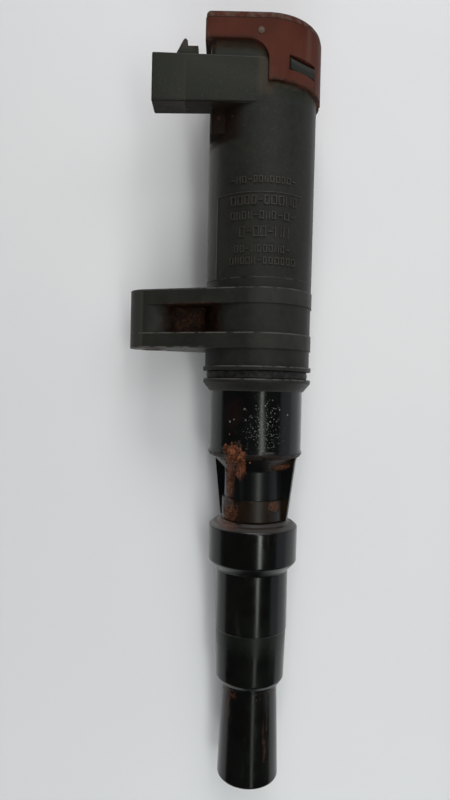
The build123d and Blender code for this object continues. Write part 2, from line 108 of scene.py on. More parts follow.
class Graph:
    """A thin wrapper that keeps node graphs short to write and read."""

    def __init__(self, name):
        self.material = bpy.data.materials.new(name)
        self.material.use_nodes = True
        self.tree = self.material.node_tree
        self.shader = self.tree.nodes["Principled BSDF"]
        self.coords = self.add("ShaderNodeTexCoord").outputs["Object"]

    def add(self, kind, **values):
        node = self.tree.nodes.new(kind)
        for key, value in values.items():
            setattr(node, key, value)
        return node

    def link(self, source, target):
        """Feeds a socket from another socket, or sets it to a number or colour."""
        if hasattr(source, "links"):
            self.tree.links.new(source, target)
        else:
            target.default_value = source

    def noise(self, scale, detail=4, roughness=0.55, stretch=(1, 1, 1)):
        """Noise between 0 and 1; scale is in cycles per metre."""
        mapping = self.add("ShaderNodeMapping")
        self.link(self.coords, mapping.inputs["Vector"])
        mapping.inputs["Scale"].default_value = stretch
        node = self.add("ShaderNodeTexNoise")
        self.link(mapping.outputs["Vector"], node.inputs["Vector"])
        node.inputs["Scale"].default_value = scale
        node.inputs["Detail"].default_value = detail
        node.inputs["Roughness"].default_value = roughness
        return node.outputs["Fac"]

    def cells(self, scale):
        """Distance to the nearest of scattered points; scale is in cells per metre."""
        node = self.add("ShaderNodeTexVoronoi", feature="F1")
        self.link(self.coords, node.inputs["Vector"])
        node.inputs["Scale"].default_value = scale
        return node.outputs["Distance"]

    def math(self, operation, a, b=0.0):
        node = self.add("ShaderNodeMath", operation=operation)
        self.link(a, node.inputs[0])
        self.link(b, node.inputs[1])
        return node.outputs[0]

    def ramp(self, value, low, high, to_low=0.0, to_high=1.0):
        """Smoothly maps low..high to to_low..to_high, and holds the end values outside."""
        node = self.add("ShaderNodeMapRange", interpolation_type="SMOOTHSTEP")
        self.link(value, node.inputs["Value"])
        node.inputs["From Min"].default_value = low
        node.inputs["From Max"].default_value = high
        node.inputs["To Min"].default_value = to_low
        node.inputs["To Max"].default_value = to_high
        return node.outputs["Result"]

    def window(self, value, low, high, soft):
        """1 between low and high, 0 outside, with soft ends."""
        rise = self.ramp(value, low - soft, low + soft)
        fall = self.ramp(value, high + soft, high - soft)
        return self.math("MULTIPLY", rise, fall)

    def spot(self, x, z, half_x, half_z, ragged=0.9, grain=420):
        """A patch with a ragged edge, on the side that faces -Y."""
        across = self.math("DIVIDE", self.math("SUBTRACT", self.axis("X"), x), half_x)
        along = self.math("DIVIDE", self.math("SUBTRACT", self.axis("Z"), z), half_z)
        across_squared = self.math("MULTIPLY", across, across)
        along_squared = self.math("MULTIPLY", along, along)
        reach = self.math("SQRT", self.math("ADD", across_squared, along_squared))
        uneven = self.math("SUBTRACT", self.noise(grain, 5, 0.65), 0.5)
        wander = self.math("MULTIPLY", uneven, ragged * 2)
        shape = self.ramp(self.math("ADD", reach, wander), 1.1, 0.65)
        return self.math("MULTIPLY", shape, self.ramp(self.axis("Y"), 1.0, -1.0))

    def times(self, *factors):
        product = factors[0]
        for factor in factors[1:]:
            product = self.math("MULTIPLY", product, factor)
        return product

    def most(self, *values):
        top = values[0]
        for value in values[1:]:
            top = self.math("MAXIMUM", top, value)
        return top

    def axis(self, name):
        """One coordinate of the shared frame, in millimetres."""
        node = self.add("ShaderNodeSeparateXYZ")
        self.link(self.coords, node.inputs[0])
        return self.math("MULTIPLY", node.outputs[name], 1 / MM)

    def mix(self, factor, a, b):
        """From colour a to colour b; either is a tuple or another node's output."""
        node = self.add("ShaderNodeMix", data_type="RGBA")
        self.link(factor, node.inputs["Factor"])
        in_a, in_b, out = MIX_COLOUR
        for value, key in ((a, in_a), (b, in_b)):
            if isinstance(value, tuple):
                value = (*value, 1.0)
            self.link(value, node.inputs[key])
        return node.outputs[out]

    def blend_value(self, factor, a, b):
        node = self.add("ShaderNodeMix", data_type="FLOAT")
        self.link(factor, node.inputs["Factor"])
        in_a, in_b, out = MIX_NUMBER
        self.link(a, node.inputs[in_a])
        self.link(b, node.inputs[in_b])
        return node.outputs[out]

    def bump(self, height, distance, strength):
        node = self.add("ShaderNodeBump")
        self.link(height, node.inputs["Height"])
        node.inputs["Distance"].default_value = distance * MM
        node.inputs["Strength"].default_value = strength
        return node.outputs["Normal"]

    def edges(self):
        """Bright on outward edges, dark in corners, from the mesh's own curvature."""
        return self.add("ShaderNodeNewGeometry").outputs["Pointiness"]

    def finish(self, colour, roughness, normal, **constants):
        """Feeds the shader; a constant is named after its socket, with _ for a space."""
        self.link(colour, self.shader.inputs["Base Color"])
        self.link(roughness, self.shader.inputs["Roughness"])
        self.link(normal, self.shader.inputs["Normal"])
        for key, value in constants.items():
            self.shader.inputs[key.replace("_", " ")].default_value = value
        return self.material


def paint(material, *names):
    for name in names:
        obj = nodes[name]
        if not obj.material_slots:
            obj.data.materials.append(material)
        for slot in obj.material_slots:
            slot.material = material


# ------------------------------------------------------------------ camera
# the camera looks along +Y, and FOOT is the point of the coil's mid-plane level with it
FOOT = Vector((-9.15, 0.0, -11.4)) * MM
CAMERA_DISTANCE = 175 * MM
CAMERA_NEAREST = 5 * MM
AIM_BELOW_FOOT = 3.0 * MM
CAMERA_ROLL = math.radians(1.33)
LENS_MM = 26.5
SENSOR_MM = 36


def add_camera():
    data = bpy.data.cameras.new("camera")
    data.lens = LENS_MM
    data.sensor_width = SENSOR_MM
    data.sensor_fit = "AUTO"
    data.clip_start = CAMERA_NEAREST
    cam = bpy.data.objects.new("camera", data)
    bpy.context.collection.objects.link(cam)
    place = FOOT - Vector((0, CAMERA_DISTANCE, 0))
    aim = FOOT - Vector((0, 0, AIM_BELOW_FOOT))
    back = (place - aim).normalized()
    up = Vector((-math.sin(CAMERA_ROLL), 0, math.cos(CAMERA_ROLL)))
    right = up.cross(back).normalized()
    up = back.cross(right)
    rotation = Matrix((right, up, back)).transposed().to_4x4()
    cam.matrix_world = Matrix.Translation(place) @ rotation
    bpy.context.scene.camera = cam


# ------------------------------------------------------------------ lights and room
# tall lights that together make the long highlights: X, upper end, lower end, watts
STRIPS = (
    (120, 490, -90, 0.51),
    (165, -90, -240, 0.29),
    (180, -240, -330, 0.078),
    (142, -330, -510, 0.067),
)
STRIP_Y = -560
STRIP_WIDTH = 70
STRIP_TINT = (0.93, 1.0, 0.93)

# name, place, aim, width and height, watts, colour, whether glossy parts mirror it
LIGHTS = (
    ("soft_upper_right", (330, -520, 380), (0, 0, 0), (360, 360), 0.50, (1.0, 0.93, 0.98), True),
    ("right_wall", (620, -120, 40), (0, 0, 0), (420, 900), 0.50, (0.84, 0.91, 1.0), True),
    ("front_fill", (50, -600, 60), (0, 0, 0), (420, 640), 0.95, (1.0, 0.99, 0.97), False),
    ("top_soft", (20, -330, 560), (0, 0, 40), (300, 220), 1.50, (1.0, 0.98, 0.97), True),
    ("foot_soft", (10, -360, -600), (0, 0, -60), (300, 220), 1.70, (0.96, 1.0, 0.97), False),
    ("rear_fill", (-260, 420, 260), (0, 0, 0), (300, 300), 1.2, (1.0, 0.98, 0.95), True),
    ("rear_strip", (280, 450, 60), (0, 0, 0), (80, 700), 0.6, (0.96, 0.98, 1.0), True),
    ("rear_soft", (0, 640, 120), (0, 0, 0), (500, 500), 2.4, (1.0, 0.99, 0.97), True),
)

ROOM_TINT = (0.86, 0.88, 0.95, 1)
ROOM_STRENGTH = 0.035
WALL_COLOUR = (0.58, 0.59, 0.61, 1)


def add_light(name, place, aim, size, watts, colour, mirrored):
    """A soft rectangular light; one that isn't mirrored leaves no highlight on glossy parts."""
    data = bpy.data.lights.new(name, "AREA")
    data.shape = "RECTANGLE"
    data.size, data.size_y = (s * MM for s in size)
    data.energy = watts
    data.color = colour
    light = bpy.data.objects.new(name, data)
    bpy.context.collection.objects.link(light)
    light.location = Vector(place) * MM
    toward = Vector(aim) * MM - light.location
    light.rotation_mode = "QUATERNION"
    light.rotation_quaternion = toward.to_track_quat("-Z", "Y")
    light.visible_glossy = mirrored


def add_lights():
    for x, upper, lower, watts in STRIPS:
        middle = (upper + lower) / 2
        place, aim = (x, STRIP_Y, middle), (0, 0, middle)
        add_light("strip", place, aim, (STRIP_WIDTH, upper - lower), watts, STRIP_TINT, True)
    for light in LIGHTS:
        add_light(*light)


def add_world():
    """A room that lights the coil dimly, but looks pale where a view passes the paper's edge."""
    world = bpy.data.worlds.new("room")
    world.use_nodes = True
    tree = world.node_tree
    room = tree.nodes["Background"]
    room.inputs["Color"].default_value = ROOM_TINT
    room.inputs["Strength"].default_value = ROOM_STRENGTH
    wall = tree.nodes.new("ShaderNodeBackground")
    wall.inputs["Color"].default_value = WALL_COLOUR
    path = tree.nodes.new("ShaderNodeLightPath")
    mixed = tree.nodes.new("ShaderNodeMixShader")
    tree.links.new(path.outputs["Is Camera Ray"], mixed.inputs[0])
    tree.links.new(room.outputs[0], mixed.inputs[1])
    tree.links.new(wall.outputs[0], mixed.inputs[2])
    tree.links.new(mixed.outputs[0], tree.nodes["World Output"].inputs["Surface"])
    bpy.context.scene.world = world


# ------------------------------------------------------------------ paper
# the coil lies on its lower flange and the tip of its boot, so the sheet tilts a little
PAPER_Y = 16.1 * MM
PAPER_FLANGE_Z = -9.0 * MM
PAPER_TILT = 0.056
PAPER_WIDTH, PAPER_LENGTH = 0.8, 1.1        # metres
PAPER_COLUMNS, PAPER_ROWS = 60, 90
PAPER_WAVES = 5
WAVE_TURN = (4, 16)                         # radians per metre
WAVE_START = (0, 6.28)
PAPER_GAP = 0.4
PAPER_RIPPLE = 0.25
PAPER_SEED = 4


def paper_material():
    """White paper from the front, and nothing from the back."""
    g = Graph("paper_white")
    fibre = g.noise(260, 6, 0.6)
    cloud = g.noise(9, 3)
    colour = g.mix(g.ramp(cloud, 0.3, 0.7), (0.83, 0.83, 0.85), (0.80, 0.80, 0.83))
    g.finish(colour, 0.85, g.bump(fibre, 0.05, 0.5))
    clear = g.add("ShaderNodeBsdfTransparent")
    facing = g.add("ShaderNodeNewGeometry").outputs["Backfacing"]
    mixed = g.add("ShaderNodeMixShader")
    g.link(facing, mixed.inputs[0])
    g.link(g.shader.outputs[0], mixed.inputs[1])
    g.link(clear.outputs[0], mixed.inputs[2])
    g.link(mixed.outputs[0], g.tree.nodes["Material Output"].inputs["Surface"])
    return g.material


def add_paper():
    """The gently wavy sheet that the coil lies on. It can't be seen from the back."""
    bm = bmesh.new()
    bmesh.ops.create_grid(bm, x_segments=PAPER_COLUMNS, y_segments=PAPER_ROWS, size=0.5)
    rng = random.Random(PAPER_SEED)
    spans = (WAVE_TURN, WAVE_TURN, WAVE_START)
    waves = [[rng.uniform(*span) for span in spans] for _ in range(PAPER_WAVES)]
    for v in bm.verts:
        x, z = v.co.x * PAPER_WIDTH, v.co.y * PAPER_LENGTH
        wave = sum(math.sin(a * x + b * z + c) for a, b, c in waves)
        rest = PAPER_Y + (z - PAPER_FLANGE_Z) * PAPER_TILT
        v.co = Vector((x, rest + max(0.0, PAPER_GAP + PAPER_RIPPLE * wave) * MM, z))
    bmesh.ops.reverse_faces(bm, faces=[f for f in bm.faces if f.normal.y > 0])
    paper = mesh_object("paper", bm, paper_material())
    paper.visible_shadow = False


# ------------------------------------------------------------------ the housing's look
HOUSING_DARK = (0.0120, 0.0120, 0.0105)
HOUSING_LIGHT = (0.0190, 0.0190, 0.0160)
HOUSING_BLOTCH = (0.0250, 0.0245, 0.0215)
HOUSING_HEAD = (0.0130, 0.0155, 0.0100)
HOUSING_DUST = (0.090, 0.092, 0.080)
HOUSING_GRIME_AND_SHADE = (0.0085, 0.0042, 0.0026)
HOUSING_DIRT = (0.050, 0.034, 0.020)
NOTCH_DIRT = (0.026, 0.0120, 0.0070)
HOUSING_RUST_DARK = (0.022, 0.0075, 0.0040)
HOUSING_RUST_BRIGHT = (0.085, 0.030, 0.012)
HOUSING_WORN = (0.085, 0.082, 0.076)
HOUSING_CORNER = (0.060, 0.058, 0.053)
# bands, as low end and high end in Z, or in X where the name says so
BARREL_BAND = (18, 78)
UNDER_CONNECTOR = (57.0, 66.3)
UNDER_CAP = (70.4, 72.2)
NOTCH_TOP = (80.9, 84.5)
NOTCH_SIDE = (68.5, 80.5)
NOTCH_SIDE_X = (-2.2, 2.0)
POCKET = (4.4, 12.7)
POCKET_X = (-26.5, -11.0)
LUG_MIDDLE_RIM = (0.15, 0.6)
BARREL_FOOT_RIM = (19.2, 19.5)
# fades, as where one starts and where it is full, in Z or X likewise
HEAD_FADE = (64, 70)
UNDER_CONNECTOR_FADE_X = (-4.5, -9.0)
UNDER_CAP_FADE_X = (-1.5, 0.5)
NOTCH_TOP_FADE_X = (1.0, -1.0)
RUST_SPOTS_FADE = (60.5, 64.5)
CRUMBS_FADE_X = (-9.0, -14.0)
LUG_RIM_FADE_X = (-14, -18)
# outer edges of the lug's plates and the flanges: low end, high end, softness
RIMS = ((16.45, 16.78, 0.08), (4.2, 4.53, 0.08), (-4.95, -4.6, 0.1), (-8.5, -8.12, 0.1))


def housing_material():
    """Grained glass-filled plastic: greenish head, grime and painted shade under it, rust and
    painted shade in the lug's pocket.
    """
    g = Graph("housing_grained")
    z = g.axis("Z")
    x = g.axis("X")
    cloud = g.noise(70, 4, 0.6)
    blotch = g.noise(420, 5, 0.7)
    grain = g.noise(2600, 3, 0.6)
    base = g.mix(g.ramp(cloud, 0.3, 0.75), HOUSING_DARK, HOUSING_LIGHT)
    base = g.mix(g.ramp(blotch, 0.35, 0.7, 0.0, 0.45), base, HOUSING_BLOTCH)
    base = g.mix(g.ramp(z, *HEAD_FADE, 0, 0.75), base, HOUSING_HEAD)
    dust_grains = g.ramp(g.noise(2600, 3, 0.7), 0.58, 0.72)
    base = g.mix(g.times(dust_grains, g.window(z, *BARREL_BAND, 8), 0.38), base, HOUSING_DUST)

    # painted shade and dirt under the connector, dirt along the cap's lower edge, and in the top
    # and side of its notch
    below = g.times(g.window(z, *UNDER_CONNECTOR, 0.8), g.ramp(x, *UNDER_CONNECTOR_FADE_X),
                    g.ramp(blotch, 0.15, 0.40))
    cap_line = g.times(g.window(z, *UNDER_CAP, 0.5), g.ramp(x, *UNDER_CAP_FADE_X),
                       g.ramp(blotch, 0.35, 0.6), 0.8)
    notch_top = g.times(g.window(z, *NOTCH_TOP, 1.2), g.ramp(x, *NOTCH_TOP_FADE_X),
                        g.ramp(blotch, 0.30, 0.55))
    notch_side = g.times(g.window(z, *NOTCH_SIDE, 1.5), g.window(x, *NOTCH_SIDE_X, 0.9), 0.55)
    # painted shade: the dark grimy colour under the connector stands in for its shadow as well as
    # for grime
    base = g.mix(below, base, HOUSING_GRIME_AND_SHADE)
    base = g.mix(g.most(cap_line, notch_side), base, HOUSING_DIRT)
    base = g.mix(g.times(notch_top, 0.7), base, NOTCH_DIRT)

    # rust under the connector, in the lug's pocket and in the top of the notch, with painted shade
    # deep in the pocket
    spots = g.times(below, g.ramp(g.noise(700, 5, 0.7), 0.56, 0.66),
                    g.ramp(z, *RUST_SPOTS_FADE), 0.85)
    pocket = g.times(g.window(z, *POCKET, 0.3), g.window(x, *POCKET_X, 2.0))
    deep = g.times(pocket, g.ramp(g.noise(260, 5, 0.6), 0.30, 0.48))
    # painted shade with grime: the pocket's deep parts are darkened
    base = g.mix(g.times(deep, 0.95), base, HOUSING_GRIME_AND_SHADE)
    crumbs = g.times(pocket, g.ramp(g.noise(1300, 6, 0.7), 0.40, 0.64),
                     g.ramp(x, *CRUMBS_FADE_X))
    rusty = g.most(spots, crumbs, g.times(notch_top, 0.9))
    rust = g.mix(g.ramp(blotch, 0.4, 0.65), HOUSING_RUST_DARK, HOUSING_RUST_BRIGHT)
    base = g.mix(rusty, base, rust)

    # pale rubbed lines along the rims, and softer ones wherever an edge stands out
    lug_rim = g.times(g.window(z, *LUG_MIDDLE_RIM, 0.1), g.ramp(x, *LUG_RIM_FADE_X))
    foot_rim = g.times(g.window(z, *BARREL_FOOT_RIM, 0.08), 0.7)
    rims = g.most(*(g.window(z, *rim) for rim in RIMS), lug_rim, foot_rim)
    rub = g.times(rims, g.ramp(g.noise(350, 4, 0.7), 0.36, 0.56), 0.9)
    base = g.mix(rub, base, HOUSING_WORN)
    base = g.mix(g.times(g.ramp(g.edges(), 0.53, 0.60), 0.45), base, HOUSING_CORNER)

    rough = g.ramp(cloud, 0.2, 0.8, 0.50, 0.62)
    rough = g.blend_value(g.most(rusty, below), rough, 0.8)
    crust = g.times(rusty, g.noise(1300, 5, 0.7), 2.5)
    height = g.math("ADD", g.times(grain, 0.5), crust)
    return g.finish(base, rough, g.bump(height, 0.06, 0.55), Specular_IOR_Level=0.20)


# ------------------------------------------------------------------ the cap's look
CAP_DARK = (0.066, 0.0188, 0.0122)
CAP_LIGHT = (0.083, 0.0250, 0.0164)
CAP_DUST = (0.105, 0.078, 0.062)
CAP_DIRT_AND_SHADE = (0.022, 0.012, 0.009)
CAP_WORN = (0.17, 0.105, 0.085)
CAP_CREASE = (87.75, 88.1)
CAP_SKIRT = (70.0, 72.5)
CAP_NOTCH_EDGE = (82.2, 83.0)
ABOVE_CREASE_FADE = (87.7, 88.3)
CAP_LEFT_FADE_X = (-1.5, -5.0)


def cap_material():
    """Brown-red plastic, dusty above the crease, dirty along its lower edges, with painted shade
    along the crease and under the left wall at the notch.
    """
    g = Graph("cap_brown_red")
    z = g.axis("Z")
    grain = g.noise(2200, 3, 0.6)
    cloud = g.noise(120, 4, 0.6)
    blotch = g.noise(480, 5, 0.7)
    base = g.mix(g.ramp(cloud, 0.3, 0.7), CAP_DARK, CAP_LIGHT)
    above_crease = g.ramp(z, *ABOVE_CREASE_FADE, 0.02, 0.80)
    film = g.times(g.ramp(g.noise(600, 5, 0.7), 0.40, 0.66), above_crease)
    base = g.mix(film, base, CAP_DUST)
    # painted shade: a dark line along the crease
    crease = g.times(g.window(z, *CAP_CREASE, 0.12), 0.75)
    skirt = g.times(g.window(z, *CAP_SKIRT, 0.25), g.ramp(blotch, 0.38, 0.6), 0.9)
    left = g.ramp(g.axis("X"), *CAP_LEFT_FADE_X)
    # painted shade on the left wall's underside at the notch, stronger towards the left
    notch_edge = g.times(g.window(z, *CAP_NOTCH_EDGE, 0.2), left, 0.6)
    # dirt along the skirt, and painted shade at the crease and the notch's edge
    base = g.mix(g.most(crease, skirt, notch_edge), base, CAP_DIRT_AND_SHADE)
    base = g.mix(g.times(g.ramp(g.edges(), 0.60, 0.70), 0.2), base, CAP_WORN)
    rough = g.ramp(cloud, 0.2, 0.8, 0.56, 0.68)
    return g.finish(base, rough, g.bump(grain, 0.03, 0.5), Specular_IOR_Level=0.05)


# ------------------------------------------------------------------ the tower's and boot's look
RUST_DARK = (0.034, 0.0105, 0.0050)
RUST_BRIGHT = (0.230, 0.078, 0.034)
FINE_RAGGED = 700                           # cycles per metre

TOWER_DARK = (0.0026, 0.0026, 0.0030)
TOWER_LIGHT = (0.0050, 0.0052, 0.0050)
TOWER_SPECKS = (0.16, 0.165, 0.155)
TOWER_FILM = (0.030, 0.011, 0.007)
TOWER_STAIN = (0.014, 0.0068, 0.0026)
LEDGE = (-30.8, -29.2)
CONE_WINDOWS = (-42.7, -30.9)
HUB = (-49.2, -42.7)
# patches: X, Z, half width, half height, and for most the raggedness and its grain
SPLASHED = (1.5, -20.5, 5.5, 8.0, 1.2, FINE_RAGGED)
REDDISH_FILM = (-6.5, -17.5, 2.6, 4.5, 1.6, 500)
CONE_STAIN = (6.8, -32.6, 4.6, 2.2)
# patches of rust: X, Z, half width, half height, raggedness, strength
TOWER_RUST = (
    (-6.2, -29.4, 2.8, 2.9, 1.6, 1.0),
    (-4.2, -33.8, 1.5, 2.6, 1.8, 1.0),
    (-7.1, -37.5, 1.15, 6.5, 0.8, 1.0),
    (5.6, -44.3, 1.8, 1.5, 1.8, 0.55),
    (-6.8, -46.6, 2.2, 3.0, 1.6, 0.85),
    (7.6, -33.2, 2.4, 1.1, 1.8, 0.6),
)

BOOT_DARK = (0.0026, 0.0028, 0.0024)
BOOT_LIGHT = (0.0050, 0.0056, 0.0046)
BOOT_HAZE = (0.0085, 0.0105, 0.0080)
BOOT_LIP_DUST = (0.036, 0.030, 0.027)
BOOT_SCUFFS = (0.030, 0.030, 0.027)
BOOT_RUST = (0.026, 0.0095, 0.0045)
NOSE_TOP = (-100.2, -98.3)
# fades in Z, then patches as above
HAZE_TOP_FADE = (-81.05, -81.3)
HAZE_FOOT_FADE = (-89.0, -82.0)
LIP_FADE = (-51.3, -50.5)
LEFT_RUN = (-6.5, -101.5, 1.0, 7.5, 0.9)
RIGHT_RUN = (4.4, -107.0, 0.8, 11.0, 1.2)
LIP_RUST = (-7.6, -49.6, 2.8, 1.2, 1.6, FINE_RAGGED)
SCUFF_STRETCH = (1, 1, 0.3)
RUN_STRETCH = (1, 1, 0.10)


def rust_colour(g):
    """Crusty rust: dark brown with brighter orange grains."""
    fine = g.noise(2600, 6, 0.75)
    patch = g.noise(700, 4, 0.6)
    tone = g.math("ADD", g.math("MULTIPLY", fine, 0.55), g.math("MULTIPLY", patch, 0.45))
    return g.mix(g.ramp(tone, 0.43, 0.58), RUST_DARK, RUST_BRIGHT)


def tower_material():
    """Glossy black plastic: dried splashes, a stained hub and rust that runs down the cone."""
    g = Graph("tower_gloss_black")
    z = g.axis("Z")
    base = g.mix(g.ramp(g.noise(160, 4), 0.35, 0.7), TOWER_DARK, TOWER_LIGHT)
    specks = g.times(g.ramp(g.cells(1100), 0.22, 0.12), g.spot(*SPLASHED))
    base = g.mix(specks, base, TOWER_SPECKS)
    base = g.mix(g.times(g.spot(*REDDISH_FILM), 0.18), base, TOWER_FILM)
    ledge = g.times(g.window(z, *LEDGE, 0.25), g.ramp(g.noise(300, 4), 0.35, 0.55), 0.7)
    hub = g.times(g.window(z, *HUB, 0.2), g.ramp(g.noise(240, 5, 0.6), 0.30, 0.52))
    cone = g.times(g.spot(*CONE_STAIN), 0.75)
    base = g.mix(g.most(ledge, g.times(hub, 0.85), cone), base, TOWER_STAIN)
    crust = g.most(*(g.times(g.spot(*patch, FINE_RAGGED), strength)
                     for *patch, strength in TOWER_RUST))
    base = g.mix(crust, base, rust_colour(g))
    rough = g.ramp(g.noise(300, 4), 0.3, 0.8, 0.13, 0.24)
    rough = g.blend_value(g.window(z, *CONE_WINDOWS, 0.3), rough, 0.34)
    rough = g.blend_value(hub, rough, 0.40)
    rough = g.blend_value(g.most(crust, ledge), rough, 0.85)
    height = g.math("ADD", g.times(g.noise(1300, 6, 0.7), crust), g.times(specks, 0.5))
    return g.finish(base, rough, g.bump(height, 0.30, 0.8), Specular_IOR_Level=0.38)


def boot_material():
    """Moulded rubber: glossy collar and tube, a dull band, a dusty lip, rust runs on the nose."""
    g = Graph("boot_gloss_rubber")
    z = g.axis("Z")
    base = g.mix(g.ramp(g.noise(110, 4), 0.35, 0.7), BOOT_DARK, BOOT_LIGHT)
    haze = g.times(g.ramp(z, *HAZE_TOP_FADE), g.ramp(z, *HAZE_FOOT_FADE))
    base = g.mix(g.times(haze, 0.6), base, BOOT_HAZE)
    lip = g.times(g.ramp(z, *LIP_FADE), g.ramp(g.noise(260, 4), 0.25, 0.5, 0.6, 1.0))
    base = g.mix(g.times(lip, 0.85), base, BOOT_LIP_DUST)
    scuffs = g.times(g.ramp(g.noise(380, 4, 0.6, SCUFF_STRETCH), 0.60, 0.70), 0.25)
    base = g.mix(scuffs, base, BOOT_SCUFFS)
    runs = g.ramp(g.noise(420, 4, 0.6, RUN_STRETCH), 0.44, 0.58)
    left_run = g.times(g.spot(*LEFT_RUN), runs, 0.70)
    right_run = g.times(g.spot(*RIGHT_RUN), runs, 0.36)
    lip_rust = g.times(g.spot(*LIP_RUST), 0.9)
    nose_top = g.times(g.window(z, *NOSE_TOP, 0.4), g.ramp(g.noise(300, 4), 0.50, 0.62), 0.35)
    rusty = g.most(left_run, right_run, lip_rust, nose_top)
    base = g.mix(rusty, base, g.mix(0.55, rust_colour(g), BOOT_RUST))
    rough = g.blend_value(haze, g.ramp(g.noise(220, 4), 0.3, 0.8, 0.16, 0.24), 0.36)
    rough = g.blend_value(lip, rough, 0.55)
    rough = g.blend_value(rusty, rough, 0.75)
    height = g.noise(500, 3)
    return g.finish(base, rough, g.bump(height, 0.02, 0.4), Specular_IOR_Level=0.38)


# ------------------------------------------------------------------ the other materials
def seal_material():
    g = Graph("seal_worn_rubber")
    wear = g.noise(700, 5, 0.7)
    colour = g.mix(g.ramp(wear, 0.40, 0.66), (0.0045, 0.0045, 0.0045), (0.030, 0.027, 0.023))
    return g.finish(colour, 0.7, g.bump(wear, 0.15, 0.8))


def rust_material():
    g = Graph("rust_crust")
    height = g.noise(1600, 6, 0.7)
    return g.finish(rust_colour(g), 0.9, g.bump(height, 0.12, 0.9), Specular_IOR_Level=0.25)


def splash_material():
    """Dried splashes: a pale mineral film."""
    g = Graph("dried_splash")
    film = g.noise(2400, 4, 0.6)
    colour = g.mix(g.ramp(film, 0.35, 0.65), (0.07, 0.075, 0.07), (0.22, 0.23, 0.215))
    return g.finish(colour, 0.32, g.bump(film, 0.02, 0.5))


def metal_material(name, low, high, roughness):
    g = Graph(name)
    wear = g.noise(900, 5, 0.6)
    colour = g.mix(g.ramp(wear, 0.35, 0.7), low, high)
    rough = g.ramp(wear, 0.3, 0.7, roughness, roughness + 0.18)
    return g.finish(colour, rough, g.bump(wear, 0.02, 0.4), Metallic=1.0)


def plain_material(name, low, high, roughness, scale=400):
    g = Graph(name)
    cloud = g.noise(scale, 4)
    colour = g.mix(g.ramp(cloud, 0.35, 0.7), low, high)
    return g.finish(colour, roughness, g.bump(cloud, 0.03, 0.4))


# material's name, darker and lighter colour, lowest roughness, CAD nodes
METALS = (
    ("bush_plated", (0.16, 0.14, 0.115), (0.30, 0.27, 0.225), 0.38, ("mounting_bush",)),
    ("tin_plate", (0.55, 0.53, 0.48), (0.7, 0.68, 0.62), 0.25,
     ("terminal_supply", "terminal_switched", "hv_cup", "suppressor_caps", "hv_pin",
      "contact_cup")),
    ("enamelled_copper", (0.42, 0.13, 0.05), (0.6, 0.22, 0.09), 0.3,
     ("primary_winding", "secondary_winding", "primary_lead_supply", "primary_lead_switched")),
    ("core_steel", (0.25, 0.25, 0.27), (0.38, 0.38, 0.4), 0.4,
     ("core_laminations", "inner_shield", "outer_shield")),
)
# material's name, darker and lighter colour, roughness, CAD nodes
PLAINS = (
    ("bobbin_plastic", (0.16, 0.15, 0.13), (0.22, 0.21, 0.18), 0.5,
     ("primary_bobbin", "secondary_bobbin", "terminal_carrier")),
    ("soft_pad", (0.03, 0.03, 0.03), (0.06, 0.06, 0.06), 0.8, ("core_sleeve", "core_end_pad")),
    ("magnet_grey", (0.05, 0.05, 0.055), (0.09, 0.09, 0.09), 0.45,
     ("core_magnet_upper", "core_magnet_lower")),
    ("cast_epoxy", (0.03, 0.027, 0.024), (0.05, 0.045, 0.04), 0.25, ("potting_resin",)),
    ("suppressor_ceramic", (0.5, 0.46, 0.4), (0.62, 0.58, 0.5), 0.35, ("suppressor_body",)),
)


def paint_all(spring_wire):
    """Gives every CAD node its material, outside and inside."""
    paint(housing_material(), "housing")
    paint(cap_material(), "cap")
    paint(tower_material(), "lower_tower")
    paint(boot_material(), "boot")
    paint(seal_material(), "well_seal")
    paint(spring_wire, "link_spring", "contact_spring")
    for make, rows in ((metal_material, METALS), (plain_material, PLAINS)):
        for name, low, high, roughness, names in rows:
            paint(make(name, low, high, roughness), *names)


# ------------------------------------------------------------------ the moulded marking
BARREL_R = 15.58                            # outside of the barrel at the marking
BAR_SUNK = 0.05
BAR_SLOPE = 0.07
BAR_STEP = 0.05                             # radians
LABEL_RAISE = 0.26
LABEL_LINE = 0.34
# height of the row's middle, height of its boxes, left end, right end
LABEL_ROWS = (
    (45.6, 1.9, -9.0, 9.2),
    (40.1, 2.5, -8.8, 9.0),
    (36.0, 2.2, -8.8, 9.0),
    (31.6, 2.9, -6.4, 7.8),
    (27.0, 2.0, -7.6, 8.6),
    (23.8, 2.0, -8.8, 9.0),
)
LABEL_KINDS = ("box", "box", "box", "posts", "dash")
LABEL_WIDTHS = (0.50, 0.66)                 # share of the height
LABEL_GAPS = (0.30, 0.48)
LABEL_END_ROOM = 1.0
FRAME_LEFT, FRAME_RIGHT = math.radians(-54), math.radians(44)
FRAME_BOTTOM, FRAME_TOP = 19.6, 42.4
FRAME_LINE = 0.3
FRAME_SIDE = 0.02                           # radians
FRAME_RAISE = 0.10
LABEL_SEED = 11


def add_bar(bm, left, right, z_low, z_high, raised):
    """A raised bar that follows the barrel from angle left to angle right, with sloping sides."""
    steps = max(2, round((right - left) / BAR_STEP))
    rows = []
    for i in range(steps + 1):
        angle = left + (right - left) * i / steps
        inset = BAR_SLOPE / BARREL_R if i in (0, steps) else 0.0
        top = angle + (inset if i == 0 else -inset)
        rows.append([
            bm.verts.new(on_barrel(angle, z_low, BARREL_R - BAR_SUNK)),
            bm.verts.new(on_barrel(top, z_low + BAR_SLOPE, BARREL_R + raised)),
            bm.verts.new(on_barrel(top, z_high - BAR_SLOPE, BARREL_R + raised)),
            bm.verts.new(on_barrel(angle, z_high, BARREL_R - BAR_SUNK)),
        ])
    skin(bm, rows)
    close_ends(bm, rows)


